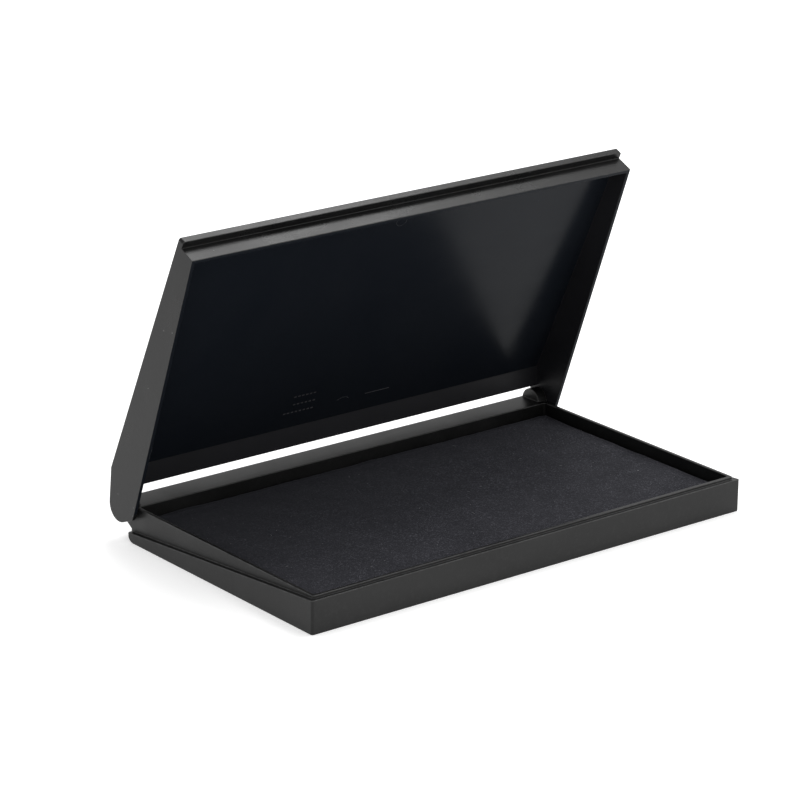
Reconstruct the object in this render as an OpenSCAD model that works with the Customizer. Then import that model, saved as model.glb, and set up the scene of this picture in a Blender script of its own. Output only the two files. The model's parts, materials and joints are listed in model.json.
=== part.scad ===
// Hinged ink pad: a shallow case that holds a cloth-covered felt pad under a fold-back lid.
// Millimetres. +Z up, +X along the hinge side, +Y from the opening side to the hinge.
// The origin is in the middle of the case's underside, on the surface it stands on.

/* [Case] */
// Length of the tray along the hinge
case_l = 164; // [120:1:220]
// Depth of the tray from its front face to its back
tray_d = 91; // [70:1:130]
// Height of the ledge under the closed lid, at the front
ledge_front_h = 10.4; // [9:0.1:14]
// Height of the same ledge at the hinge side
ledge_back_h = 2.9; // [2:0.1:4]
// Height of the rim above the ledge at the front
rim_rise = 0.7; // [0.6:0.1:2]
// Step from the outer faces in to the rim
rim_inset = 1.5; // [1.5:0.1:2.5]
// Wall thickness of the rim
rim_t = 1.2; // [1:0.1:2]
// Thickness of the tray floor
floor_t = 1.6; // [1.2:0.1:2.5]
// Radius on the upright corners
corner_r = 0.8; // [0.5:0.1:2]

/* [Hinge] */
// Distance from the back of the tray out to the hinge axis
axis_back = 2.8; // [2:0.1:3.5]
// Drop of the hinge axis below the tray rim
axis_drop = 0.6; // [0:0.1:1.5]
// Radius of the back rail's round back, which follows the hinge axis
rail_r = 4.1; // [3.6:0.1:4.3]
// Distance from the back of the well to the back of the tray
rail_t = 2.8; // [2.2:0.1:5]
// Height on the tray's back where the rail starts to lean out
lean_h = 3.7; // [3:0.1:5]
// Radius of the two pivot ears
ear_r = 4.1; // [3.4:0.1:4.1]
// Thickness of each pivot ear
ear_t = 3.6; // [3.4:0.1:5]
// Radius of the pivot pins moulded on the lid
pin_r = 1.2; // [1:0.05:1.5]
// Length of each pin inside its ear
pin_reach = 2.6; // [2:0.1:2.6]
// Radial running clearance between a pin and its ear
pin_play = 0.08; // [0.03:0.01:0.1]
// Depth that a pin's hole runs on past its end
pin_relief = 0.5; // [0.3:0.1:0.6]
// Angle above closed at which the lid is drawn
lid_open = 65.5; // [0:0.1:180]

/* [Lid] */
// Depth of the lid's front wall, from the top face to the rim
lid_front_h = 8; // [7.5:0.1:12]
// Distance that the lid's side walls stand out past the tray, each side
lid_over = 1; // [0:0.1:1.5]
// Thickness of the lid's panel
panel_t = 2.2; // [1.4:0.1:2.4]
// Thickness of the lid's walls
lid_wall_t = 1.2; // [1:0.05:1.5]
// Distance that the thumb lip stands out past the front wall
lip_out = 2.3; // [1.5:0.1:5]
// Radius of the lid's round hinge ends
end_r = 5; // [4.6:0.1:5.6]
// Length of the sloped strip along the hinge side
slope_run = 13.6; // [12:0.5:20]
// Fall of that strip's inner face over its length
slope_drop = 6.6; // [6:0.1:6.8]
// Length of slope cut away over the back rail
slot_run = 8.2; // [8.2:0.1:9.4]

/* [Pad] */
// Height of the pad's top above the table
pad_top_h = 7.6; // [6:0.1:9]
// Gap between the pad and the walls round it
pad_gap = 0.4; // [0.3:0.1:2]
// Corner radius of the pad
pad_corner_r = 1.6; // [1.2:0.1:5]
// Thickness of the cloth cover
cloth_t = 0.6; // [0.3:0.05:1]
// Thickness of the stiff backing sheet
backing_t = 1.2; // [0.8:0.1:2]
// Slack between the layers of the pad
layer_gap = 0.05; // [0.02:0.01:0.2]

/* [Fit] */
// Gap between the closed lid and the ledge
seam = 0.3; // [0.3:0.05:0.6]

/* [Hidden] */
$fn = 64;
over = 1; // how far a cut runs past the face it opens

half_l = case_l / 2;
front_y = -tray_d / 2;
back_y = tray_d / 2;
rim_h = ledge_front_h + rim_rise;
ledge_slope = (ledge_back_h - ledge_front_h) / tray_d;

// the pad well
rim_half_l = half_l - rim_inset;
well_half_l = rim_half_l - rim_t;
well_front_y = front_y + rim_inset + rim_t;
well_back_y = back_y - rail_t;

// the hinge, whose axis runs along X
axis_y = back_y + axis_back;
axis_z = rim_h - axis_drop;
bore_r = pin_r + pin_play;
lid_half_l = half_l + lid_over;
lid_face_x = lid_half_l - lid_wall_t;
ear_face_x = lid_face_x - seam;

// the closed lid
top_z = ledge_front_h + seam + lid_front_h;
tip_y = axis_y + end_r;
slope_angle = atan(slope_drop / slope_run);

// height of the ledge at a distance along the case
function ledge_z(y) = ledge_front_h + (y - front_y) * ledge_slope;

// where a line from a point touches a circle; side is 1 or -1
function touch(p, c, r, side) =
    let (
        d = norm(c - p),
        a = atan2(p[1] - c[1], p[0] - c[0]) + side * acos(r / d)
    )
    c + r * [cos(a), sin(a)];

// an outline drawn in Y and Z, made solid between two places along X
module along_x(x0, x1) {
    translate([x0, 0, 0])
        rotate([90, 0, 90])
            linear_extrude(height = x1 - x0)
                children();
}

// an upright block with rounded corners, standing on z0
module block(half_x, y0, y1, z0, z1, r) {
    translate([0, 0, z0])
        linear_extrude(height = z1 - z0)
            rounded_plan(half_x, y0, y1, r);
}

module rounded_plan(half_x, y0, y1, r) {
    translate([-half_x + r, y0])
        square([2 * (half_x - r), y1 - y0]);
    translate([-half_x, y0 + r])
        square([2 * half_x, y1 - y0 - 2 * r]);
    for (x = [-half_x + r, half_x - r])
        for (y = [y0 + r, y1 - r])
            translate([x, y])
                circle(r);
}

// ---- tray ----

// side view of the foot: flat underside, round heel and sloping ledge
module foot_outline() {
    heel_r = ledge_back_h;
    difference() {
        polygon([
            [front_y, 0],
            [back_y, 0],
            [back_y, ledge_back_h],
            [front_y, ledge_front_h]
        ]);
        translate([back_y - heel_r, 0])
            difference() {
                translate([0, -over])
                    square(heel_r + over);
                translate([0, heel_r])
                    circle(heel_r);
            }
    }
}

// side view of the body inside the step, with the rail leaning out to its round back;
// it runs on past the rim, where the tray cuts it level
module body_outline() {
    axis = [axis_y, axis_z];
    lean_foot = [back_y, lean_h];
    polygon([
        [front_y + rim_inset, floor_t / 2],
        [back_y - ledge_back_h, floor_t / 2],
        [back_y, ledge_back_h],
        lean_foot,
        touch(lean_foot, axis, rail_r, 1),
        axis,
        [axis_y, rim_h + over],
        [front_y + rim_inset, rim_h + over]
    ]);
    translate(axis)
        circle(rail_r);
}

module pivot_ear(side) {
    x0 = side > 0 ? ear_face_x - ear_t : -ear_face_x;
    along_x(x0, x0 + ear_t)
        translate([axis_y, axis_z])
            circle(ear_r);
}

module pivot_hole(side) {
    depth = pin_reach + pin_relief;
    x0 = side > 0 ? ear_face_x - depth : -ear_face_x - over;
    translate([x0, axis_y, axis_z])
        rotate([0, 90, 0])
            cylinder(r = bore_r, h = depth + over);
}

module tray() {
    color("#2b2c2b")
        difference() {
            union() {
                intersection() {
                    along_x(-half_l, half_l)
                        foot_outline();
                    block(half_l, front_y, back_y, 0, rim_h, corner_r);
                }
                intersection() {
                    along_x(-rim_half_l, rim_half_l)
                        body_outline();
                    block(rim_half_l, front_y + rim_inset, tip_y, 0, rim_h, corner_r);
                }
                for (side = [-1, 1])
                    pivot_ear(side);
            }
            block(well_half_l, well_front_y, well_back_y, floor_t, rim_h + over, corner_r);
            for (side = [-1, 1])
                pivot_hole(side);
        }
}

// ---- lid, drawn closed and then swung open ----

// side view of the whole lid, from the thumb lip to the round hinge end
module lid_outline() {
    axis = [axis_y, axis_z];
    slope_top = [tip_y - slope_run, top_z];
    rim_end = [axis_y - 0.5, ledge_z(back_y) + seam];
    polygon([
        [front_y - lip_out, top_z],
        [front_y - lip_out, top_z - panel_t],
        [front_y, top_z - panel_t],
        [front_y, ledge_front_h + seam],
        [back_y, ledge_back_h + seam],
        rim_end,
        touch(rim_end, axis, end_r, 1),
        axis,
        touch(slope_top, axis, end_r, -1),
        slope_top
    ]);
    translate(axis)
        circle(end_r);
}

// side view of the space inside the lid, open below
module lid_hollow_outline() {
    inner_top = top_z - panel_t;
    // the slope's inner face falls more steeply than its outer face, so the slot's edge is thicker
    shift = panel_t * tan(slope_angle / 2);
    bend = [tip_y - slope_run - shift, inner_top];
    reach = slope_run + end_r;
    polygon([
        [front_y + lid_wall_t, inner_top],
        bend,
        bend + reach * [1, -tan(slope_angle)],
        [bend[0] + reach, -over],
        [front_y + lid_wall_t, -over]
    ]);
}

module pivot_pin(side) {
    length = lid_wall_t / 2 + lid_face_x - ear_face_x + pin_reach;
    x0 = side > 0 ? lid_face_x + lid_wall_t / 2 - length : -lid_face_x - lid_wall_t / 2;
    translate([x0, axis_y, axis_z])
        rotate([0, 90, 0])
            cylinder(r = pin_r, h = length);
}

module closed_lid() {
    difference() {
        intersection() {
            along_x(-lid_half_l, lid_half_l)
                lid_outline();
            block(lid_half_l, front_y - lip_out, tip_y + end_r, -over, top_z + over, corner_r);
        }
        along_x(-lid_face_x, lid_face_x)
            lid_hollow_outline();
        // the slot over the back rail
        translate([-lid_face_x, tip_y - slot_run, -over])
            cube([2 * lid_face_x, slot_run + over, top_z + 2 * over]);
    }
    for (side = [-1, 1])
        pivot_pin(side);
}

module lid() {
    color("#232527")
        translate([0, axis_y, axis_z])
            rotate([-lid_open, 0, 0])
                translate([0, -axis_y, -axis_z])
                    closed_lid();
}

// ---- pad ----

// one layer of the pad, drawn in from the pad's outside by inset
module pad_layer(inset, z0, z1) {
    edge = pad_gap + inset;
    block(
        well_half_l - edge, well_front_y + edge, well_back_y - edge,
        z0, z1, pad_corner_r - inset
    );
}

module backing_sheet() {
    color("#8a7a5c")
        pad_layer(cloth_t + layer_gap, floor_t, floor_t + backing_t);
}

module ink_felt() {
    color("#1c1d26")
        pad_layer(
            cloth_t + layer_gap,
            floor_t + backing_t, pad_top_h - cloth_t - layer_gap
        );
}

module pad_cover() {
    color("#2e2f3a")
        difference() {
            pad_layer(0, floor_t + layer_gap, pad_top_h);
            pad_layer(cloth_t, floor_t - over, pad_top_h - cloth_t);
        }
}

tray();
lid();
pad_cover();
ink_felt();
backing_sheet();
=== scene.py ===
import bpy
import bmesh
import json
import math
import random
from mathutils import Matrix, Vector, noise


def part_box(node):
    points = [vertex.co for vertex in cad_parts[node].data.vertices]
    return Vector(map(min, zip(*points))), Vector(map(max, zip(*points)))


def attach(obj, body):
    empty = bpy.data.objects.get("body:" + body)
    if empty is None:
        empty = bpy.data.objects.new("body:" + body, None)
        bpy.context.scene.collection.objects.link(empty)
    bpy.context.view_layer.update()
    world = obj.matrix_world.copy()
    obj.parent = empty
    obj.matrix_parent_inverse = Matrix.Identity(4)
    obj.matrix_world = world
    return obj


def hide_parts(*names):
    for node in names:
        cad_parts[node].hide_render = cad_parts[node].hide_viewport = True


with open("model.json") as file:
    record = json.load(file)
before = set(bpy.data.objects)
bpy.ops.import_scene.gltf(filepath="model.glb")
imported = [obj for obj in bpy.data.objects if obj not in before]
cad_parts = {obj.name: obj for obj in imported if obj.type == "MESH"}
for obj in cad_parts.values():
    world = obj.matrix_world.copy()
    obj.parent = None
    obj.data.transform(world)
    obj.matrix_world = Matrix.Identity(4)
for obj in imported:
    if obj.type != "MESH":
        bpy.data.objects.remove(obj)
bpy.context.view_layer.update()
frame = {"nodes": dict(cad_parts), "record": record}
mm = 0.001
tiny = 0.001 * mm  # closer than this counts as touching
print("frame loaded:", sorted(frame["nodes"]))

# Sizes and places that come with the frame
padLow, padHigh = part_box("pad_cover")
feltLow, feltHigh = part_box("ink_felt")
hinge = frame["record"]["behaviour"]["joints"][0]
hingePoint = Vector(hinge["pos_m"])
openAngle = math.radians(-hinge["range_deg"][0])  # how far the lid stands open at rest
swingShut = (
    Matrix.Translation(hingePoint)
    @ Matrix.Rotation(openAngle, 4, "X")
    @ Matrix.Translation(-hingePoint)
)
swingOpen = swingShut.inverted()


# Mesh helpers
def newPiece(name, bm, materials):
    mesh = bpy.data.meshes.new(name)
    bm.to_mesh(mesh)
    bm.free()
    piece = bpy.data.objects.new(name, mesh)
    bpy.context.scene.collection.objects.link(piece)
    for material in materials:
        mesh.materials.append(material)
    return piece


def smoothAll(bm):
    for face in bm.faces:
        face.smooth = True


def settle(piece):
    # the mesh that the modifiers make becomes the piece's own
    bpy.context.view_layer.update()
    graph = bpy.context.evaluated_depsgraph_get()
    mesh = bpy.data.meshes.new_from_object(piece.evaluated_get(graph))
    piece.modifiers.clear()
    piece.data = mesh


def weighNormals(piece):
    # large flat faces keep their own shading beside the soft edges
    weigh = piece.modifiers.new("flatNormals", "WEIGHTED_NORMAL")
    weigh.weight = 100
    weigh.keep_sharp = True


# Material helpers
def feed(tree, socket, value):
    # a value is either another node's output or a plain number or colour
    if hasattr(value, "is_output"):
        tree.links.new(value, socket)
    else:
        socket.default_value = value


def addNode(tree, kind, settings=None, values=None):
    node = tree.nodes.new(kind)
    for key, value in (settings or {}).items():
        setattr(node, key, value)
    for key, value in (values or {}).items():
        feed(tree, node.inputs[key], value)
    return node


def newGroup(name, inputs, outputs):
    group = bpy.data.node_groups.new(name, "ShaderNodeTree")
    for label, kind, value in inputs:
        socket = group.interface.new_socket(label, in_out="INPUT", socket_type=kind)
        if value is not None:
            socket.default_value = value
    for label, kind in outputs:
        group.interface.new_socket(label, in_out="OUTPUT", socket_type=kind)
    return group, group.nodes.new("NodeGroupInput"), group.nodes.new("NodeGroupOutput")


def mathNode(tree, operation, first, second=0.0, clamp=False):
    node = addNode(tree, "ShaderNodeMath", {"operation": operation, "use_clamp": clamp})
    for socket, value in zip(node.inputs, (first, second)):
        feed(tree, socket, value)
    return node.outputs[0]


def rangeNode(tree, value, low, high, toLow=0.0, toHigh=1.0):
    node = addNode(tree, "ShaderNodeMapRange", {"clamp": True}, {
        "Value": value, "From Min": low, "From Max": high, "To Min": toLow, "To Max": toHigh,
    })
    return node.outputs["Result"]


def mixColour(tree, mask, first, second):
    node = addNode(tree, "ShaderNodeMix", {"data_type": "RGBA", "clamp_factor": True})
    sockets = (node.inputs[0], node.inputs[6], node.inputs[7])  # factor and the two colours
    for socket, value in zip(sockets, (mask, first, second)):
        feed(tree, socket, value)
    return node.outputs[2]


def grey(value, blue=1.0):
    return (value, value, value * blue, 1.0)


def addEffect(tree, group, values):
    return addNode(tree, "ShaderNodeGroup", {"node_tree": group}, values)


# Effects shared by the materials
def makeGrain():
    # fine spark-eroded texture of a mould, with slow cloudy changes of tone
    group, given, result = newGroup(
        "mouldedGrain",
        [("Vector", "NodeSocketVector", None), ("Grain", "NodeSocketFloat", 2600.0),
         ("Cloud", "NodeSocketFloat", 45.0)],
        [("Height", "NodeSocketFloat"), ("Grit", "NodeSocketFloat"), ("Mottle", "NodeSocketFloat")],
    )
    fine = addNode(group, "ShaderNodeTexNoise", None, {
        "Vector": given.outputs["Vector"], "Scale": given.outputs["Grain"],
        "Detail": 2.0, "Roughness": 0.6,
    })
    coarseScale = mathNode(group, "MULTIPLY", given.outputs["Grain"], 0.31)  # three times coarser
    coarse = addNode(group, "ShaderNodeTexNoise", None, {
        "Vector": given.outputs["Vector"], "Scale": coarseScale, "Detail": 2.0, "Roughness": 0.5,
    })
    cloud = addNode(group, "ShaderNodeTexNoise", None, {
        "Vector": given.outputs["Vector"], "Scale": given.outputs["Cloud"],
        "Detail": 4.0, "Roughness": 0.55, "Distortion": 0.4,
    })
    share = mathNode(group, "MULTIPLY", coarse.outputs[0], 0.6)
    height = mathNode(group, "ADD", fine.outputs[0], share)
    group.links.new(height, result.inputs["Height"])
    group.links.new(rangeNode(group, coarse.outputs[0], 0.35, 0.68), result.inputs["Grit"])
    group.links.new(rangeNode(group, cloud.outputs[0], 0.34, 0.66), result.inputs["Mottle"])
    return group


def makeRub():
    # edges rubbed paler, broken up so that no edge is even
    group, given, result = newGroup(
        "rubbedEdges",
        [("Vector", "NodeSocketVector", None), ("Edge", "NodeSocketFloat", 0.0),
         ("Break", "NodeSocketFloat", 420.0)],
        [("Mask", "NodeSocketFloat")],
    )
    patches = addNode(group, "ShaderNodeTexNoise", None, {
        "Vector": given.outputs["Vector"], "Scale": given.outputs["Break"],
        "Detail": 3.0, "Roughness": 0.65,
    })
    broken = rangeNode(group, patches.outputs[0], 0.30, 0.62, 0.25, 1.0)
    mask = mathNode(group, "MULTIPLY", given.outputs["Edge"], broken, True)
    group.links.new(mask, result.inputs["Mask"])
    return group


def makeDust():
    # sparse specks of dust and lint, each of its own size
    group, given, result = newGroup(
        "dustSpecks",
        [("Vector", "NodeSocketVector", None), ("Spread", "NodeSocketFloat", 260.0),
         ("Amount", "NodeSocketFloat", 0.3), ("Size", "NodeSocketFloat", 0.09)],
        [("Mask", "NodeSocketFloat")],
    )
    wobble = addNode(group, "ShaderNodeTexNoise", None, {
        "Vector": given.outputs["Vector"], "Scale": 1900.0, "Detail": 1.0,
    })
    bent = addNode(group, "ShaderNodeVectorMath", {"operation": "MULTIPLY_ADD"}, {
        0: wobble.outputs["Color"], 1: (0.4 * mm,) * 3, 2: given.outputs["Vector"],
    })
    cells = addNode(group, "ShaderNodeTexVoronoi", {"feature": "F1"}, {
        "Vector": bent.outputs[0], "Scale": given.outputs["Spread"], "Randomness": 1.0,
    })
    parts = addNode(group, "ShaderNodeSeparateColor", None, {"Color": cells.outputs["Color"]})
    chosen = mathNode(group, "LESS_THAN", parts.outputs[0], given.outputs["Amount"])
    own = mathNode(group, "MULTIPLY", parts.outputs[1], given.outputs["Size"])
    close = mathNode(group, "LESS_THAN", cells.outputs["Distance"], own)
    group.links.new(mathNode(group, "MULTIPLY", chosen, close, True), result.inputs["Mask"])
    return group


def makeFelted():
    # matted nap of an inked cloth: relief, pale hair tips gathered in patches,
    # and a slow change of tone
    group, given, result = newGroup(
        "felted",
        [("Vector", "NodeSocketVector", None), ("Nap", "NodeSocketFloat", 3000.0),
         ("Patch", "NodeSocketFloat", 60.0)],
        [("Height", "NodeSocketFloat"), ("Pale", "NodeSocketFloat"), ("Tone", "NodeSocketFloat")],
    )
    nap = addNode(group, "ShaderNodeTexNoise", None, {
        "Vector": given.outputs["Vector"], "Scale": given.outputs["Nap"], "Detail": 2.0,
        "Roughness": 0.85,
    })
    bend = addNode(group, "ShaderNodeTexNoise", None, {
        "Vector": given.outputs["Vector"], "Scale": 520.0, "Detail": 2.0,
    })
    bent = addNode(group, "ShaderNodeVectorMath", {"operation": "MULTIPLY_ADD"}, {
        0: bend.outputs["Color"], 1: (3 * mm,) * 3, 2: given.outputs["Vector"],
    })
    strands = []
    for turn in (0.4, 1.9):  # hairs lie mostly in two directions
        turned = addNode(group, "ShaderNodeMapping", None, {
            "Vector": bent.outputs[0], "Rotation": (0.0, 0.0, turn), "Scale": (1.0, 0.35, 1.0),
        })
        strand = addNode(group, "ShaderNodeTexNoise", None, {
            "Vector": turned.outputs[0], "Scale": 1500.0, "Detail": 1.5, "Roughness": 0.6,
        })
        strands.append(strand.outputs[0])
    hair = mathNode(group, "MAXIMUM", strands[0], strands[1])
    clump = addNode(group, "ShaderNodeTexNoise", None, {
        "Vector": given.outputs["Vector"], "Scale": 190.0, "Detail": 3.0, "Roughness": 0.6,
    })
    patch = addNode(group, "ShaderNodeTexNoise", None, {
        "Vector": given.outputs["Vector"], "Scale": given.outputs["Patch"], "Detail": 5.0,
        "Roughness": 0.6,
    })
    share = mathNode(group, "MULTIPLY", hair, 0.7)
    group.links.new(mathNode(group, "ADD", nap.outputs[0], share), result.inputs["Height"])
    tips = rangeNode(group, nap.outputs[0], 0.52, 0.72)
    gathered = rangeNode(group, clump.outputs[0], 0.38, 0.66, 0.55, 1.0)
    hairTips = rangeNode(group, hair, 0.62, 0.80, 0.0, 0.6)
    pale = mathNode(group, "MULTIPLY", mathNode(group, "ADD", tips, hairTips, True), gathered)
    group.links.new(pale, result.inputs["Pale"])
    group.links.new(rangeNode(group, patch.outputs[0], 0.33, 0.68), result.inputs["Tone"])
    return group


def makeHaze():
    # long faint streaks of flow and wiping on mouldings, and a slow wave for their smooth faces
    group, given, result = newGroup(
        "flowHaze",
        [("Vector", "NodeSocketVector", None), ("Streak", "NodeSocketFloat", 60.0)],
        [("Haze", "NodeSocketFloat"), ("Wave", "NodeSocketFloat")],
    )
    drawn = addNode(group, "ShaderNodeMapping", None, {
        "Vector": given.outputs["Vector"], "Rotation": (0.0, 0.35, 0.25), "Scale": (0.5, 2.2, 1.4),
    })
    streaks = addNode(group, "ShaderNodeTexNoise", None, {
        "Vector": drawn.outputs[0], "Scale": given.outputs["Streak"], "Detail": 5.0,
        "Roughness": 0.6, "Distortion": 0.6,
    })
    wave = addNode(group, "ShaderNodeTexNoise", None, {
        "Vector": given.outputs["Vector"], "Scale": 26.0, "Detail": 1.0,
    })
    group.links.new(rangeNode(group, streaks.outputs[0], 0.35, 0.70), result.inputs["Haze"])
    group.links.new(wave.outputs[0], result.inputs["Wave"])
    return group


grain = makeGrain()
rub = makeRub()
dust = makeDust()
felted = makeFelted()
flowHaze = makeHaze()


# Materials
def startMaterial(name):
    material = bpy.data.materials.new(name)
    material.use_nodes = True
    tree = material.node_tree
    tree.nodes.clear()
    shader = tree.nodes.new("ShaderNodeBsdfPrincipled")
    out = tree.nodes.new("ShaderNodeOutputMaterial")
    tree.links.new(shader.outputs[0], out.inputs["Surface"])
    place = tree.nodes.new("ShaderNodeTexCoord").outputs["Object"]
    return material, tree, shader, place


def matPlastic(name, finish):
    material, tree, shader, place = startMaterial(name)
    texture = addEffect(tree, grain, {
        "Vector": place, "Grain": finish["grainScale"], "Cloud": finish["cloudScale"],
    })
    edge = addNode(tree, "ShaderNodeAttribute", {"attribute_name": "rub"})
    worn = addEffect(tree, rub, {"Vector": place, "Edge": edge.outputs["Fac"]}).outputs["Mask"]
    specks = addEffect(tree, dust, {
        "Vector": place, "Spread": finish["dustSpread"], "Amount": finish["dustAmount"],
        "Size": finish["dustSize"],
    }).outputs["Mask"]
    haze = addEffect(tree, flowHaze, {"Vector": place, "Streak": finish["streakScale"]})
    body = mixColour(tree, texture.outputs["Mottle"], finish["dark"], finish["light"])
    grit = rangeNode(tree, texture.outputs["Grit"], finish["gritFrom"], 1.0, 0.0, finish["grit"])
    body = mixColour(tree, grit, body, finish["gritColour"])
    smear = rangeNode(tree, haze.outputs["Haze"], finish["smearFrom"], 1.0, 0.0, finish["smear"])
    body = mixColour(tree, smear, body, finish["smearColour"])
    body = mixColour(tree, worn, body, finish["rubColour"])
    body = mixColour(tree, specks, body, finish["dustColour"])
    tree.links.new(body, shader.inputs["Base Color"])
    dull = rangeNode(
        tree, texture.outputs["Mottle"], 0.0, 1.0, finish["roughLow"], finish["roughHigh"],
    )
    dull = mathNode(tree, "SUBTRACT", dull, mathNode(tree, "MULTIPLY", worn, finish["rubPolish"]))
    wiped = mathNode(tree, "MULTIPLY", smear, finish["smearPolish"])
    dull = mathNode(tree, "SUBTRACT", dull, wiped)
    dull = mathNode(tree, "ADD", dull, mathNode(tree, "MULTIPLY", specks, finish["dustDull"]), True)
    tree.links.new(dull, shader.inputs["Roughness"])
    bump = addNode(tree, "ShaderNodeBump", None, {
        "Height": texture.outputs["Height"], "Strength": finish["bump"],
        "Distance": finish["bumpDepth"],
    })
    tree.links.new(bump.outputs[0], shader.inputs["Normal"])
    shader.inputs["Specular IOR Level"].default_value = finish["specular"]
    return material


def glossPlastic(name, finish):
    material, tree, shader, place = startMaterial(name)
    haze = addEffect(tree, flowHaze, {"Vector": place, "Streak": finish["streakScale"]})
    texture = addEffect(tree, grain, {
        "Vector": place, "Grain": finish["grainScale"], "Cloud": finish["cloudScale"],
    })
    specks = addEffect(tree, dust, {
        "Vector": place, "Spread": finish["dustSpread"], "Amount": finish["dustAmount"],
        "Size": finish["dustSize"],
    }).outputs["Mask"]
    edge = addNode(tree, "ShaderNodeAttribute", {"attribute_name": "rub"})
    worn = addEffect(tree, rub, {"Vector": place, "Edge": edge.outputs["Fac"]}).outputs["Mask"]
    body = mixColour(tree, texture.outputs["Mottle"], finish["dark"], finish["light"])
    body = mixColour(tree, worn, body, finish["rubColour"])
    body = mixColour(tree, specks, body, finish["dustColour"])
    tree.links.new(body, shader.inputs["Base Color"])
    dull = rangeNode(tree, haze.outputs["Haze"], 0.0, 1.0, finish["roughLow"], finish["roughHigh"])
    dull = mathNode(tree, "ADD", dull, mathNode(tree, "MULTIPLY", specks, finish["dustDull"]), True)
    tree.links.new(dull, shader.inputs["Roughness"])
    ripple = mathNode(tree, "MULTIPLY", haze.outputs["Wave"], finish["ripple"])
    fineShare = mathNode(tree, "MULTIPLY", texture.outputs["Height"], finish["grainShare"])
    bump = addNode(tree, "ShaderNodeBump", None, {
        "Height": mathNode(tree, "ADD", ripple, fineShare), "Strength": finish["bump"],
        "Distance": finish["bumpDepth"],
    })
    tree.links.new(bump.outputs[0], shader.inputs["Normal"])
    shader.inputs["Specular IOR Level"].default_value = finish["specular"]
    return material


def feltCloth(name, finish):
    material, tree, shader, place = startMaterial(name)
    fibre = addEffect(tree, felted, {
        "Vector": place, "Nap": finish["napScale"], "Patch": finish["patchScale"],
    })
    lint = addEffect(tree, dust, {
        "Vector": place, "Spread": finish["dustSpread"], "Amount": finish["dustAmount"],
        "Size": finish["dustSize"],
    }).outputs["Mask"]
    body = mixColour(tree, fibre.outputs["Tone"], finish["dark"], finish["light"])
    # painted shade: the cloth is darker towards the corner by the hinge, where the open lid shades
    # it, and the pale hair tips are dulled there
    spot = addNode(tree, "ShaderNodeSeparateXYZ", None, {"Vector": place})
    side = mathNode(tree, "MULTIPLY", spot.outputs["X"], finish["paintedShadeSide"])
    corner = mathNode(tree, "ADD", side, spot.outputs["Y"])
    shadeUnderLid = rangeNode(tree, corner, finish["paintedShadeFrom"], finish["paintedShadeTo"], 0.0, finish["paintedShade"])
    body = mixColour(tree, shadeUnderLid, body, finish["paintedShadeColour"])
    tipsLeft = rangeNode(tree, shadeUnderLid, 0.0, 1.0, 1.0, finish["tipsInPaintedShade"])
    tips = mathNode(tree, "MULTIPLY", fibre.outputs["Pale"], tipsLeft)
    body = mixColour(tree, tips, body, finish["paleFibre"])
    body = mixColour(tree, lint, body, finish["dustColour"])
    tree.links.new(body, shader.inputs["Base Color"])
    dull = rangeNode(tree, fibre.outputs["Tone"], 0.0, 1.0, finish["roughHigh"], finish["roughLow"])
    tree.links.new(dull, shader.inputs["Roughness"])
    bump = addNode(tree, "ShaderNodeBump", None, {
        "Height": fibre.outputs["Height"], "Strength": finish["bump"],
        "Distance": finish["bumpDepth"],
    })
    tree.links.new(bump.outputs[0], shader.inputs["Normal"])
    shader.inputs["Specular IOR Level"].default_value = finish["specular"]
    shader.inputs["Sheen Weight"].default_value = finish["sheen"]
    shader.inputs["Sheen Roughness"].default_value = finish["sheenRough"]
    shader.inputs["Sheen Tint"].default_value = finish["sheenTint"]
    return material


caseFinish = {
    "dark": grey(0.0042), "light": grey(0.0066), "gritColour": grey(0.010),
    "rubColour": grey(0.045), "dustColour": grey(0.16),
    "grainScale": 2600.0, "cloudScale": 40.0, "bump": 0.16, "bumpDepth": 0.00010,
    "gritFrom": 0.55, "grit": 0.6,
    "streakScale": 34.0, "smearFrom": 0.45, "smear": 0.45, "smearPolish": 0.10,
    "smearColour": grey(0.0110),
    "roughLow": 0.36, "roughHigh": 0.44, "rubPolish": 0.06, "specular": 0.27,
    "dustSpread": 240.0, "dustAmount": 0.10, "dustSize": 0.055, "dustDull": 0.4,
}
railFinish = dict(caseFinish, specular=0.22)  # dulled by handling and ink
lidOuterFinish = dict(
    caseFinish, dark=grey(0.0046), light=grey(0.0074), roughLow=0.26, roughHigh=0.33, bump=0.18,
    specular=0.23, dustAmount=0.34, dustSize=0.065, dustColour=grey(0.12),
)
lidInnerFinish = {
    "dark": (0.0066, 0.0082, 0.0112, 1), "light": (0.0080, 0.0096, 0.0126, 1),
    "rubColour": grey(0.012), "dustColour": (0.03, 0.033, 0.04, 1),
    "grainScale": 1500.0, "cloudScale": 30.0, "streakScale": 55.0,
    "roughLow": 0.19, "roughHigh": 0.27,
    "ripple": 0.6, "grainShare": 0.05, "bump": 0.10, "bumpDepth": 0.0008, "specular": 0.062,
    "dustSpread": 130.0, "dustAmount": 0.12, "dustSize": 0.04, "dustDull": 0.4,
}
lidWallFinish = dict(
    lidInnerFinish, dark=grey(0.0120, 1.15), light=grey(0.0150, 1.15), rubColour=grey(0.018),
    roughLow=0.38, roughHigh=0.46, specular=0.15,
)
# painted highlight: the mould marks are paler than the panel, standing in for the light their
# raised tops catch
lidMarkHighlightFinish = dict(
    lidInnerFinish, dark=grey(0.018, 1.1), light=grey(0.050, 1.1), roughLow=0.30, roughHigh=0.40,
)
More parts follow.
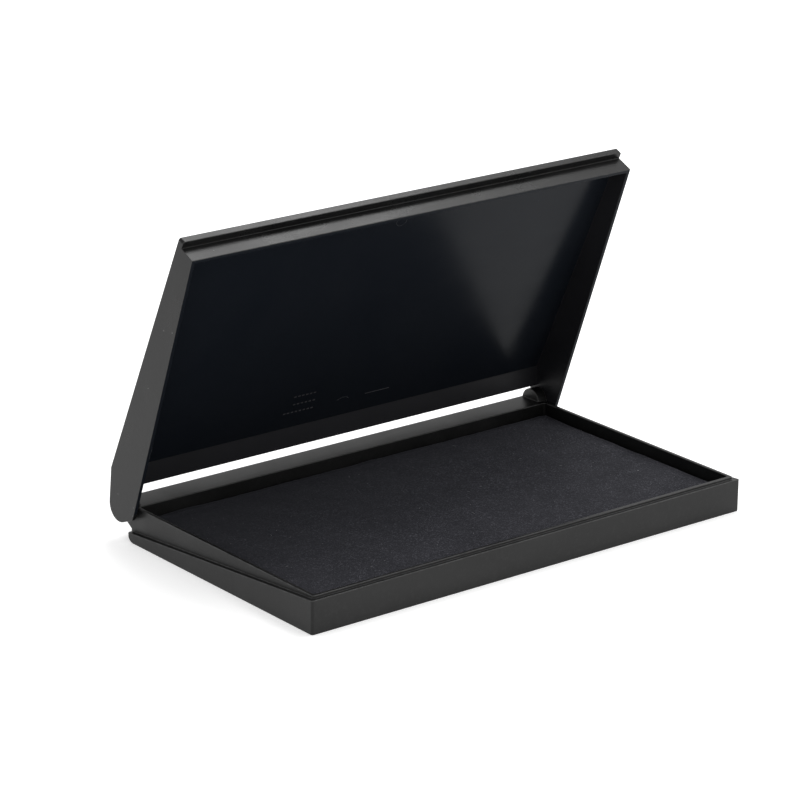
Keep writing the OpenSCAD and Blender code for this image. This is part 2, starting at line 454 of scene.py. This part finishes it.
coverFinish = {
    "dark": (0.0070, 0.0071, 0.0098, 1), "light": (0.0112, 0.0112, 0.0150, 1),
    "paleFibre": (0.086, 0.084, 0.099, 1), "dustColour": (0.30, 0.30, 0.32, 1),
    "napScale": 2250.0, "patchScale": 60.0, "bump": 0.55, "bumpDepth": 0.00016,
    "roughLow": 0.86, "roughHigh": 0.96, "specular": 0.22,
    "sheen": 0.045, "sheenRough": 0.45, "sheenTint": (0.78, 0.82, 1.0, 1),
    "dustSpread": 210.0, "dustAmount": 0.10, "dustSize": 0.06,
    # painted shade under the open lid, darker towards the corner by the hinge
    "paintedShade": 0.90, "paintedShadeFrom": -0.012, "paintedShadeTo": 0.050, "paintedShadeSide": -0.45,
    "paintedShadeColour": (0.0026, 0.0028, 0.0044, 1), "tipsInPaintedShade": 0.22,
}
feltFinish = dict(
    coverFinish, dark=(0.006, 0.006, 0.010, 1), light=(0.013, 0.013, 0.021, 1),
    napScale=1500.0, bump=0.9, dustAmount=0.02,
)

casePlastic = matPlastic("casePlastic", caseFinish)
railPlastic = matPlastic("railPlastic", railFinish)
lidOuter = matPlastic("lidMattOutside", lidOuterFinish)
lidInner = glossPlastic("lidGlossInside", lidInnerFinish)
lidWalls = glossPlastic("lidWallInside", lidWallFinish)
lidMarkHighlight = glossPlastic("lidMarkTopsPaintedHighlight", lidMarkHighlightFinish)
coverCloth = feltCloth("inkedCloth", coverFinish)
inkedFelt = feltCloth("inkedFelt", feltFinish)


# Backing sheet, which keeps its own mesh
cardFinish = {
    "dark": (0.27, 0.21, 0.13, 1), "light": (0.36, 0.29, 0.19, 1), "fibre": (0.48, 0.41, 0.29, 1),
    "ink": (0.035, 0.034, 0.052, 1), "inkScale": 38.0, "inkFrom": 0.50, "inkTo": 0.62,
    "napScale": 1300.0, "patchScale": 55.0, "bump": 0.4, "bumpDepth": 0.0001,
    "roughLow": 0.82, "roughHigh": 0.93,
}


def backingCard(finish):
    material, tree, shader, place = startMaterial("pressedCard")
    pulp = addEffect(tree, felted, {
        "Vector": place, "Nap": finish["napScale"], "Patch": finish["patchScale"],
    })
    stain = addNode(tree, "ShaderNodeTexNoise", None, {
        "Vector": place, "Scale": finish["inkScale"], "Detail": 5.0,
    })
    inked = rangeNode(tree, stain.outputs[0], finish["inkFrom"], finish["inkTo"])
    body = mixColour(tree, pulp.outputs["Tone"], finish["dark"], finish["light"])
    body = mixColour(tree, pulp.outputs["Pale"], body, finish["fibre"])
    body = mixColour(tree, inked, body, finish["ink"])
    tree.links.new(body, shader.inputs["Base Color"])
    dull = rangeNode(tree, pulp.outputs["Tone"], 0.0, 1.0, finish["roughLow"], finish["roughHigh"])
    tree.links.new(dull, shader.inputs["Roughness"])
    bump = addNode(tree, "ShaderNodeBump", None, {
        "Height": pulp.outputs["Height"], "Strength": finish["bump"],
        "Distance": finish["bumpDepth"],
    })
    tree.links.new(bump.outputs[0], shader.inputs["Normal"])
    return material


frame["nodes"]["backing_sheet"].data.materials.clear()
frame["nodes"]["backing_sheet"].data.materials.append(backingCard(cardFinish))
print("materials ready")


# Moulded shells with softened edges
edgeSizes = {
    "tray": 0.22 * mm, "lid": 0.16 * mm, "segments": 2, "sharpFrom": math.radians(25),
    "flatWithin": math.radians(0.3), "rubOutward": 1.0, "rubInward": 0.4,
}


def softenedShell(node):
    bm = bmesh.new()
    bm.from_mesh(frame["nodes"][node].data)
    rubbed = bm.faces.layers.float.new("rub")
    bmesh.ops.remove_doubles(bm, verts=bm.verts, dist=tiny)
    bmesh.ops.dissolve_limit(
        bm, angle_limit=edgeSizes["flatWithin"], verts=bm.verts, edges=bm.edges,
    )
    sharp = [e for e in bm.edges if e.calc_face_angle(0) > edgeSizes["sharpFrom"]]
    made = bmesh.ops.bevel(
        bm, geom=sharp, offset=edgeSizes[node], offset_type="OFFSET",
        segments=edgeSizes["segments"], profile=0.5, affect="EDGES", clamp_overlap=False,
        loop_slide=True, material=-1,
    )
    strips = set(made["faces"])
    for face in made["faces"]:
        middle = face.calc_center_median()
        beside = [g for e in face.edges for g in e.link_faces if g not in strips]
        rise = sum((g.calc_center_median() - middle).dot(face.normal) for g in beside)
        outward = beside and rise < 0
        face[rubbed] = edgeSizes["rubOutward"] if outward else edgeSizes["rubInward"]
    smoothAll(bm)
    return bm


# The flat top of the rail along the hinge side has its own finish
railSizes = {"pastPad": 0.6 * mm, "facesUp": 0.7}
railFrom = padHigh.y + railSizes["pastPad"]


def isTop(face):
    return face.normal.z > railSizes["facesUp"] and face.calc_center_median().z > padHigh.z


trayMesh = softenedShell("tray")
trayMesh.normal_update()
topFaces = [f for f in trayMesh.faces if isTop(f)]
topEdges = [e for e in trayMesh.edges if any(isTop(f) for f in e.link_faces)]
topVerts = [v for v in trayMesh.verts if any(isTop(f) for f in v.link_faces)]
bmesh.ops.bisect_plane(
    trayMesh, geom=topVerts + topEdges + topFaces, dist=tiny / 10,
    plane_co=(0, railFrom, 0), plane_no=(0, 1, 0),
)
for face in trayMesh.faces:
    if isTop(face) and face.calc_center_median().y > railFrom:
        face.material_index = 1
trayShell = newPiece("trayShell", trayMesh, [casePlastic, railPlastic])
weighNormals(trayShell)
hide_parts("tray")
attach(trayShell, "case")

# The lid is sorted into its matt outside and smooth inside while it is turned shut
lidSorting = {
    "panelFacing": -0.99, "middleDown": 3 * mm,
    "past": 0.3 * mm, "above": 0.2 * mm, "pastHinge": 1 * mm,
    "wallFacing": 0.7, "slopeFacing": -0.3,
    "rimFacing": -0.9, "rimBelow": 1 * mm, "rimShort": 4 * mm,
}
lidMesh = softenedShell("lid")
bmesh.ops.transform(lidMesh, matrix=swingShut, verts=lidMesh.verts)
lidMesh.normal_update()
facingIn = [f for f in lidMesh.faces if f.normal.z < lidSorting["panelFacing"]]
panelFace = max(facingIn, key=lambda f: f.calc_area())
panelZ = panelFace.calc_center_median().z
panelSide = max(v.co.x for v in panelFace.verts)
panelFront = min(v.co.y for v in panelFace.verts)
panelBack = max(v.co.y for v in panelFace.verts)
hollowMiddle = Vector((0, (panelFront + panelBack) / 2, panelZ - lidSorting["middleDown"]))
for face in lidMesh.faces:
    spot = face.calc_center_median()
    inside = abs(spot.x) < panelSide + lidSorting["past"]
    inside = inside and spot.y > panelFront - lidSorting["past"]
    inside = inside and spot.z < panelZ + lidSorting["above"]
    inside = inside and spot.y < hingePoint.y + lidSorting["pastHinge"]
    towards = face.normal.dot(hollowMiddle - spot) > 0
    wall = abs(face.normal.x) > lidSorting["wallFacing"]
    wall = wall or face.normal.y < lidSorting["slopeFacing"]
    rim = face.normal.z < lidSorting["rimFacing"] and spot.z < panelZ - lidSorting["rimBelow"]
    rim = rim and spot.y < hingePoint.y - lidSorting["rimShort"]
    if inside and towards:
        face.material_index = 2 if wall else 1
    elif rim:
        face.material_index = 1
bmesh.ops.transform(lidMesh, matrix=swingOpen, verts=lidMesh.verts)
lidShell = newPiece("lidShell", lidMesh, [lidOuter, lidInner, lidWalls])
weighNormals(lidShell)
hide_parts("lid")
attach(lidShell, "lid")
print("shells done: lid panel at", round(panelZ / mm, 2), "mm")


# Faint raised marks of the mould inside the lid, coloured paler as a painted highlight
markSizes = {
    "high": 0.09 * mm, "soft": 0.02 * mm,
    "bar": 0.9 * mm, "barWide": 0.50 * mm, "barGap": 1.5 * mm,
    "rows": ((-20.1 * mm, 6), (-19.6 * mm, 6), (-22.4 * mm, 8)),  # left end and number of bars
    "rowsFrom": 26.4 * mm, "rowGap": 3.2 * mm,
    "dash": 9.5 * mm, "dashWide": 0.26 * mm, "dashAt": (13.5 * mm, 32.3 * mm),
    "thread": 0.06 * mm, "threadSides": 6, "threadSteps": 24,
    "ring": 1.9 * mm, "ringAt": (-0.8 * mm, -38.3 * mm),
    "arch": 3.2 * mm, "archAt": (0.1 * mm, 34.8 * mm),
    "archEnds": (-0.75 * math.pi, -0.25 * math.pi),
}


def addBar(bm, x, y, width, depth):
    placed = Matrix.Translation((x, y, panelZ))
    shape = Matrix.Diagonal((width, depth, 2 * markSizes["high"], 1))
    made = bmesh.ops.create_cube(bm, size=1.0, matrix=placed @ shape)
    corners = set(made["verts"])
    sides = [e for e in bm.edges if e.verts[0] in corners]
    bmesh.ops.bevel(
        bm, geom=sides, offset=markSizes["soft"], segments=1, profile=0.5, affect="EDGES",
        material=-1,
    )


def addThread(bm, x, y, radius, start, end):
    # a round thread along a circle, closed where it goes all the way round
    middle = (x, y, panelZ)
    upright = Matrix.Rotation(math.pi / 2, 4, "X")
    made = bmesh.ops.create_circle(
        bm, cap_ends=False, segments=markSizes["threadSides"], radius=markSizes["thread"],
        matrix=Matrix.Translation((x + radius, y, panelZ)) @ upright,
    )
    corners = set(made["verts"])
    outline = made["verts"] + [e for e in bm.edges if e.verts[0] in corners]
    bmesh.ops.rotate(bm, verts=made["verts"], cent=middle, matrix=Matrix.Rotation(start, 3, "Z"))
    bmesh.ops.spin(
        bm, geom=outline, cent=middle, axis=(0, 0, 1), angle=end - start,
        steps=markSizes["threadSteps"], use_merge=end - start >= math.tau,
    )
    ends = [e for e in bm.edges if e.is_boundary]
    bmesh.ops.holes_fill(bm, edges=ends, sides=markSizes["threadSides"])


bm = bmesh.new()
for row, (left, count) in enumerate(markSizes["rows"]):
    y = markSizes["rowsFrom"] + row * markSizes["rowGap"]
    for index in range(count):
        x = left + index * markSizes["barGap"]
        addBar(bm, x, y, markSizes["bar"], markSizes["barWide"])
addBar(bm, *markSizes["dashAt"], markSizes["dash"], markSizes["dashWide"])
addThread(bm, *markSizes["ringAt"], markSizes["ring"], 0.0, math.tau)
addThread(bm, *markSizes["archAt"], markSizes["arch"], *markSizes["archEnds"])
bmesh.ops.recalc_face_normals(bm, faces=bm.faces)
bmesh.ops.transform(bm, matrix=swingOpen, verts=bm.verts)
mouldMarks = newPiece("lidMouldMarks", bm, [lidMarkHighlight])
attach(mouldMarks, "lid")
print("mould marks done")


# The cloth cover, swelled over the felt
coverSizes = {
    "corner": 1.6 * mm, "shoulder": 0.5 * mm, "inset": 0.12 * mm, "sink": 0.05 * mm,
    "cornerSteps": 5, "shoulderSteps": 4,
    "voxel": 1.5 * mm, "simScale": 10, "pressure": 4.0, "frames": 20, "quality": 6,
    "heldUpTo": 1.2 * mm, "hemAt": 0.1 * mm,
    "cap": 0.30 * mm, "cloth": 0.45 * mm, "sideRoom": 0.10 * mm, "topRoom": 0.75 * mm,
    "foldHigh": 0.42 * mm, "foldIn": 0.9 * mm, "foldWide": 1.5 * mm,
    "waverLength": 11 * mm, "waverMiddle": 0.85, "waverSpan": 0.8, "waverSeed": 4.2,
    "sideLift": 0.25,
    # each relief has a size, a depth and a seed
    "reliefs": ((22 * mm, 0.16 * mm, 3.1), (7 * mm, 0.07 * mm, 8.7), (1.9 * mm, 0.035 * mm, 1.3)),
}


def paddedBlock(low, high, corner, shoulder):
    bm = bmesh.new()
    bmesh.ops.create_cube(bm, size=1.0)
    bmesh.ops.scale(bm, vec=high - low, verts=bm.verts)
    bmesh.ops.translate(bm, vec=(high + low) / 2, verts=bm.verts)
    upright = [e for e in bm.edges if abs(e.verts[0].co.z - e.verts[1].co.z) > tiny]
    bmesh.ops.bevel(
        bm, geom=upright, offset=corner, segments=coverSizes["cornerSteps"], profile=0.5,
        affect="EDGES", material=-1,
    )
    topRim = [e for e in bm.edges if all(v.co.z > high.z - tiny for v in e.verts)]
    bmesh.ops.bevel(
        bm, geom=topRim, offset=shoulder, segments=coverSizes["shoulderSteps"], profile=0.5,
        affect="EDGES", material=-1,
    )
    return bm


def evenCells(piece, size):
    remesh = piece.modifiers.new("evenCells", "REMESH")
    remesh.mode = "VOXEL"
    remesh.voxel_size = size
    settle(piece)


def swell(piece, sizes, floorZ):
    # voxel remesh and pressure cloth, done larger than life so that the cloth behaves
    grow = sizes["simScale"]
    piece.data.transform(Matrix.Scale(grow, 4))
    evenCells(piece, sizes["voxel"] * grow)
    start = [v.co.copy() for v in piece.data.vertices]
    held = piece.vertex_groups.new(name="held")
    for v in piece.data.vertices:
        low = v.co.z / grow < floorZ + sizes["heldUpTo"]
        held.add([v.index], 1.0 if low else 0.0, "REPLACE")
    cloth = piece.modifiers.new("stretchedCloth", "CLOTH")
    cloth.settings.use_pressure = True
    cloth.settings.uniform_pressure_force = sizes["pressure"]
    cloth.settings.quality = sizes["quality"]
    cloth.settings.vertex_group_mass = "held"
    cloth.settings.effector_weights.gravity = 0
    cloth.point_cache.frame_start = 1
    cloth.point_cache.frame_end = sizes["frames"]
    for step in range(1, sizes["frames"] + 1):
        bpy.context.scene.frame_set(step)
    settle(piece)
    furthest = 0
    for v, before in zip(piece.data.vertices, start):
        moved = v.co - before
        furthest = max(furthest, moved.length / grow)
        limit = sizes["cap"] * grow
        if moved.length > limit:
            v.co = before + moved * (limit / moved.length)
    piece.data.transform(Matrix.Scale(1 / grow, 4))
    bpy.context.scene.frame_set(1)
    print("  cloth moved up to", round(furthest / mm, 2), "mm")


coverStartLow = padLow + Vector((coverSizes["inset"], coverSizes["inset"], 0))
coverStartHigh = padHigh - Vector((coverSizes["inset"], coverSizes["inset"], coverSizes["sink"]))
coverBm = paddedBlock(coverStartLow, coverStartHigh, coverSizes["corner"], coverSizes["shoulder"])
padCover = newPiece("padCover", coverBm, [coverCloth])
swell(padCover, coverSizes, padLow.z)
finer = padCover.modifiers.new("finer", "SUBSURF")
finer.levels = finer.render_levels = 1
settle(padCover)


def relief(spot, size, depth, seed):
    return depth * noise.noise(spot / size + Vector((seed, 0, 0)))


bm = bmesh.new()
bm.from_mesh(padCover.data)
bm.normal_update()
sideX = padHigh.x + coverSizes["sideRoom"]
sideY = padHigh.y + coverSizes["sideRoom"]
for v in bm.verts:
    up = max(0.0, v.normal.z)
    lift = sum(relief(v.co, size, depth, seed) for size, depth, seed in coverSizes["reliefs"])
    # the cloth stands up a little in a wavering fold along the hinge side and both ends
    toEdge = min(padHigh.y - v.co.y, padHigh.x - abs(v.co.x))
    across = (toEdge - coverSizes["foldIn"]) / coverSizes["foldWide"]
    length = coverSizes["waverLength"]
    along = Vector((v.co.x / length, v.co.y / length, coverSizes["waverSeed"]))
    waver = coverSizes["waverMiddle"] + coverSizes["waverSpan"] * noise.noise(along)
    fold = max(0.0, 1 - across * across) * waver
    facing = coverSizes["sideLift"] + (1 - coverSizes["sideLift"]) * up
    lift = lift * facing + up * fold * coverSizes["foldHigh"]
    v.co += v.normal * lift
    v.co.x = max(-sideX, min(sideX, v.co.x))
    v.co.y = max(padLow.y - coverSizes["sideRoom"], min(sideY, v.co.y))
    v.co.z = min(padHigh.z + coverSizes["topRoom"], v.co.z)
bmesh.ops.bisect_plane(
    bm, geom=bm.verts[:] + bm.edges[:] + bm.faces[:], dist=tiny / 10,
    plane_co=(0, 0, padLow.z + coverSizes["hemAt"]), plane_no=(0, 0, 1), clear_inner=True,
)
smoothAll(bm)
bm.to_mesh(padCover.data)
bm.free()
thick = padCover.modifiers.new("clothThickness", "SOLIDIFY")
thick.thickness = coverSizes["cloth"]
thick.offset = -1
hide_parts("pad_cover")
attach(padCover, "case")
print("cover done:", len(padCover.data.polygons), "faces")


# The felt inside the cover
feltSizes = {
    "corner": 1.2 * mm, "shoulder": 0.6 * mm, "voxel": 1.4 * mm, "pull": 0.35 * mm,
    "offFloor": 0.02 * mm, "underCloth": 0.25 * mm, "lowest": 0.01 * mm,
    "relief": (2.4 * mm, 0.12 * mm, 5.5),  # size, depth and seed
}
feltBm = paddedBlock(
    feltLow + Vector((feltSizes["pull"], feltSizes["pull"], feltSizes["offFloor"])),
    feltHigh - Vector((feltSizes["pull"], feltSizes["pull"], feltSizes["underCloth"])),
    feltSizes["corner"], feltSizes["shoulder"],
)
felt = newPiece("inkPadFelt", feltBm, [inkedFelt])
evenCells(felt, feltSizes["voxel"])
bm = bmesh.new()
bm.from_mesh(felt.data)
bm.normal_update()
for v in bm.verts:
    v.co += v.normal * relief(v.co, *feltSizes["relief"])
    v.co.z = max(feltLow.z + feltSizes["lowest"], v.co.z)
smoothAll(bm)
bm.to_mesh(felt.data)
bm.free()
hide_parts("ink_felt")
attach(felt, "case")
print("felt done")


# Lint and flecks caught on the inked cloth
lintSizes = {
    "hairs": 18, "hairShort": 0.6, "hairLong": 1.6,  # lengths in mm
    "hairThick": 0.03 * mm, "hairTaper": 0.6, "hairSides": 4, "hairCuts": 4,
    "curl": 0.8, "arch": 0.05, "archTurn": 3, "hairInFrom": 6 * mm, "hairUp": 0.05 * mm,
    "flecks": 130, "fleckLow": 0.04 * mm, "fleckHigh": 0.12 * mm, "fleckInFrom": 3 * mm,
    "fleckShape": (1.4, 1, 0.6, 1), "fleckTurn": 3,  # longer than wide, and low
    "topWithin": 0.6 * mm, "seed": 71,
    "dark": grey(0.10, 1.1), "light": grey(0.42, 1.05), "cloudScale": 240.0, "rough": 0.9,
}


def addHair(bm, spot, length, sizes, chance):
    hair = bmesh.new()
    thick = sizes["hairThick"]
    bmesh.ops.create_cone(
        hair, cap_ends=True, segments=sizes["hairSides"], radius1=thick,
        radius2=thick * sizes["hairTaper"], depth=length,
        matrix=Matrix.Rotation(math.pi / 2, 4, "Y"),
    )
    sides = [e for e in hair.edges if e.calc_length() > length / 2]
    bmesh.ops.subdivide_edges(hair, edges=sides, cuts=sizes["hairCuts"])
    curl = chance.uniform(-sizes["curl"], sizes["curl"])
    for v in hair.verts:
        v.co.y += curl * v.co.x * v.co.x / length
        v.co.z += sizes["arch"] * length * math.cos(sizes["archTurn"] * v.co.x / length)
    turned = Matrix.Translation(spot) @ Matrix.Rotation(chance.uniform(0, math.tau), 4, "Z")
    bmesh.ops.transform(hair, matrix=turned, verts=hair.verts)
    mesh = bpy.data.meshes.new("hair")
    hair.to_mesh(mesh)
    hair.free()
    bm.from_mesh(mesh)
    bpy.data.meshes.remove(mesh)


def matLint(finish):
    material, tree, shader, place = startMaterial("paleLint")
    cloud = addNode(tree, "ShaderNodeTexNoise", None, {
        "Vector": place, "Scale": finish["cloudScale"], "Detail": 3.0,
    })
    pale = mixColour(tree, cloud.outputs[0], finish["dark"], finish["light"])
    tree.links.new(pale, shader.inputs["Base Color"])
    shader.inputs["Roughness"].default_value = finish["rough"]
    return material


def nearEdge(spot, margin):
    return abs(spot.x) > padHigh.x - margin or abs(spot.y) > padHigh.y - margin


chance = random.Random(lintSizes["seed"])
topFrom = padHigh.z - lintSizes["topWithin"]
coverTop = [v.co.copy() for v in padCover.data.vertices if v.co.z > topFrom]
bm = bmesh.new()
for hair in range(lintSizes["hairs"]):
    spot = chance.choice(coverTop)
    if nearEdge(spot, lintSizes["hairInFrom"]):
        continue
    length = chance.uniform(lintSizes["hairShort"], lintSizes["hairLong"]) * mm
    addHair(bm, spot + Vector((0, 0, lintSizes["hairUp"])), length, lintSizes, chance)
for fleck in range(lintSizes["flecks"]):
    spot = chance.choice(coverTop)
    if nearEdge(spot, lintSizes["fleckInFrom"]):
        continue
    share = chance.uniform(0, 1) ** 2  # most are small
    size = lintSizes["fleckLow"] + share * (lintSizes["fleckHigh"] - lintSizes["fleckLow"])
    turn = chance.uniform(0, lintSizes["fleckTurn"])
    turned = Matrix.Translation(spot) @ Matrix.Rotation(turn, 4, "Z")
    flat = Matrix.Diagonal(lintSizes["fleckShape"])
    bmesh.ops.create_icosphere(bm, subdivisions=1, radius=size, matrix=turned @ flat)
smoothAll(bm)
lint = newPiece("padLint", bm, [matLint(lintSizes)])
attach(lint, "case")
print("lint done")


# Floor, light and camera
studio = {
    "floorSize": 6.0, "floorDark": grey(0.86), "floorLight": grey(0.88), "floorCloud": 3.0,
    "floorRough": 0.95, "floorSpecular": 0.1,
    "floorGlow": 0.40,  # a faint glow keeps the contact shadow pale
    "roomColour": grey(1.0), "roomLight": 0.80,
}


def matFloor(finish):
    material, tree, shader, place = startMaterial("paleFloor")
    cloud = addNode(tree, "ShaderNodeTexNoise", None, {
        "Vector": place, "Scale": finish["floorCloud"], "Detail": 3.0,
    })
    body = mixColour(tree, cloud.outputs[0], finish["floorDark"], finish["floorLight"])
    tree.links.new(body, shader.inputs["Base Color"])
    shader.inputs["Roughness"].default_value = finish["floorRough"]
    shader.inputs["Specular IOR Level"].default_value = finish["floorSpecular"]
    shader.inputs["Emission Color"].default_value = grey(1.0)
    shader.inputs["Emission Strength"].default_value = finish["floorGlow"]
    return material


bm = bmesh.new()
bmesh.ops.create_grid(bm, x_segments=2, y_segments=2, size=studio["floorSize"])
floor = newPiece("floor", bm, [matFloor(studio)])

world = bpy.data.worlds.new("studio")
bpy.context.scene.world = world
world.use_nodes = True
room = world.node_tree.nodes["Background"]
room.inputs["Color"].default_value = studio["roomColour"]
room.inputs["Strength"].default_value = studio["roomLight"]


def softBox(name, place, aim, size, power):
    light = bpy.data.lights.new(name, "AREA")
    light.shape = "RECTANGLE"
    light.size, light.size_y = size
    light.energy = power
    lamp = bpy.data.objects.new(name, light)
    lamp.location = place
    lamp.rotation_euler = (Vector(aim) - Vector(place)).to_track_quat("-Z", "Y").to_euler()
    bpy.context.scene.collection.objects.link(lamp)


studioLights = {
    "keyBox": {
        "place": (0.40, 0.34, 1.0), "aim": (0.0, 0.0, 0.05), "size": (0.5, 0.5), "power": 4.8,
    },
    "sideBox": {
        "place": (0.95, -0.25, 0.6), "aim": (0.0, 0.0, 0.0), "size": (0.6, 0.6), "power": 3.4,
    },
}
for name, box in studioLights.items():
    softBox(name, **box)

cameraView = {
    "place": (-0.63681, -0.77432, 0.38589), "turn": (70.9648, -0.6668, -38.5348),
    "lens": 159.85, "sensor": 36.0, "nearest": 0.01,
}
cameraData = bpy.data.cameras.new("viewer")
cameraData.lens = cameraView["lens"]
cameraData.sensor_width = cameraView["sensor"]
cameraData.clip_start = cameraView["nearest"]
viewer = bpy.data.objects.new("viewer", cameraData)
viewer.location = cameraView["place"]
viewer.rotation_euler = [math.radians(a) for a in cameraView["turn"]]
bpy.context.scene.collection.objects.link(viewer)
bpy.context.scene.camera = viewer
bpy.context.scene.view_settings.view_transform = "Standard"
print("stage ready")
